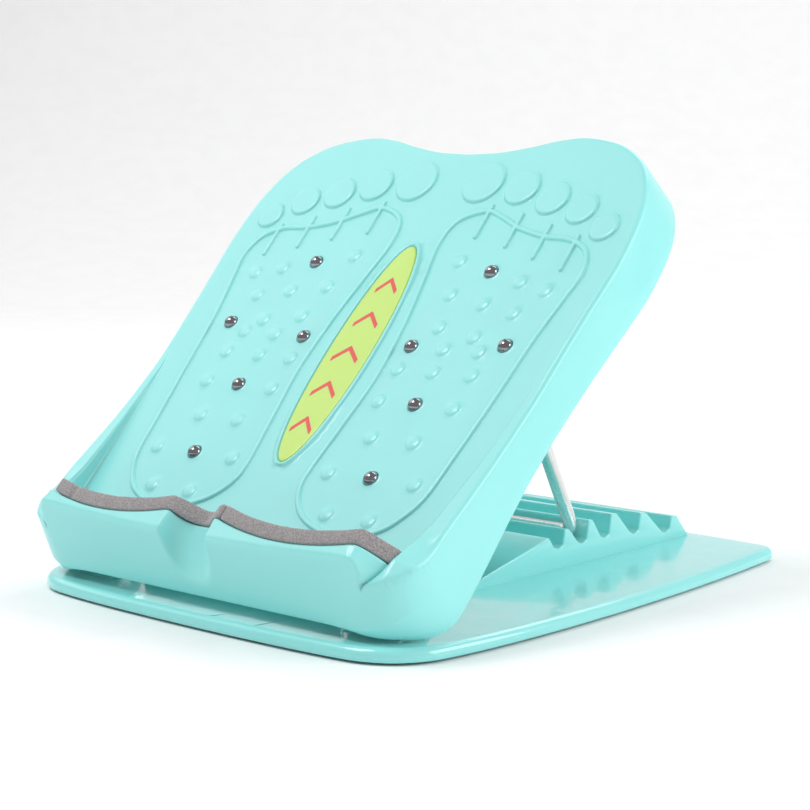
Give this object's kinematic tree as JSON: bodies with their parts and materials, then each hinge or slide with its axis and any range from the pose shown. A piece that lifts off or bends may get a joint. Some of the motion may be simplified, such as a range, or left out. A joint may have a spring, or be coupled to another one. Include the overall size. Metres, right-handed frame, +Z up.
{
  "type": "slant board",
  "caption": "Folding calf-stretch slant board: hinged foot plate with heel stops and massage points, propped by a wire stand in a notched rack on a thin base.",
  "frame": {"origin": "centre of the overall footprint, on the floor plane under the rubber feet", "axes": "+Z up, +X to the user's right when standing on the board, +Y from the heel edge to the toe edge"},
  "size_m": [0.2936, 0.3425, 0.2428],
  "materials": {
    "mint_plastic": "glossy injection-moulded mint plastic",
    "lime_plastic": "satin lime plastic insert with a plain red motif",
    "grey_foam": "matte grey felt-faced foam",
    "steel_rod": "zinc-plated wire",
    "fittings_steel": "zinc-plated steel",
    "polished_ball": "polished steel balls",
    "foot_rubber": "dark matte rubber"
  },
  "bodies": {
    "base": {"base_plate": "mint_plastic", "rubber_foot_1": "foot_rubber", "rubber_foot_2": "foot_rubber", "rubber_foot_3": "foot_rubber", "rubber_foot_4": "foot_rubber", "rubber_foot_5": "foot_rubber", "rubber_foot_6": "foot_rubber", "hinge_pin_left": "fittings_steel", "hinge_pin_right": "fittings_steel", "hinge_push_nut_left": "fittings_steel", "hinge_push_nut_right": "fittings_steel"},
    "plate": {"foot_plate": "mint_plastic", "label_insert": "lime_plastic", "heel_pad_left": "grey_foam", "heel_pad_right": "grey_foam", "steel_ball_left_1": "polished_ball", "steel_ball_left_2": "polished_ball", "steel_ball_left_3": "polished_ball", "steel_ball_left_4": "polished_ball", "steel_ball_left_5": "polished_ball", "stand_clip_left": "fittings_steel", "clip_screw_left_1": "fittings_steel", "clip_screw_left_2": "fittings_steel", "steel_ball_right_1": "polished_ball", "steel_ball_right_2": "polished_ball", "steel_ball_right_3": "polished_ball", "steel_ball_right_4": "polished_ball", "steel_ball_right_5": "polished_ball", "stand_clip_right": "fittings_steel", "clip_screw_right_1": "fittings_steel", "clip_screw_right_2": "fittings_steel"},
    "stand": {"wire_stand": "steel_rod"}
  },
  "joints": [
    {"name": "plate_hinge", "type": "hinge", "parent": "base", "child": "plate", "pos_m": [0, -0.13387, 0.02104], "axis": [1, 0, 0], "range_deg": [0, 8]},
    {"name": "stand_hinge", "type": "hinge", "parent": "plate", "child": "stand", "pos_m": [0, -0.00999, 0.15067], "axis": [1, 0, 0], "range_deg": [-8, 0]}
  ],
  "couplings": [
    {"joint": "stand_hinge", "follows": "plate_hinge", "ratio": -1}
  ]
}
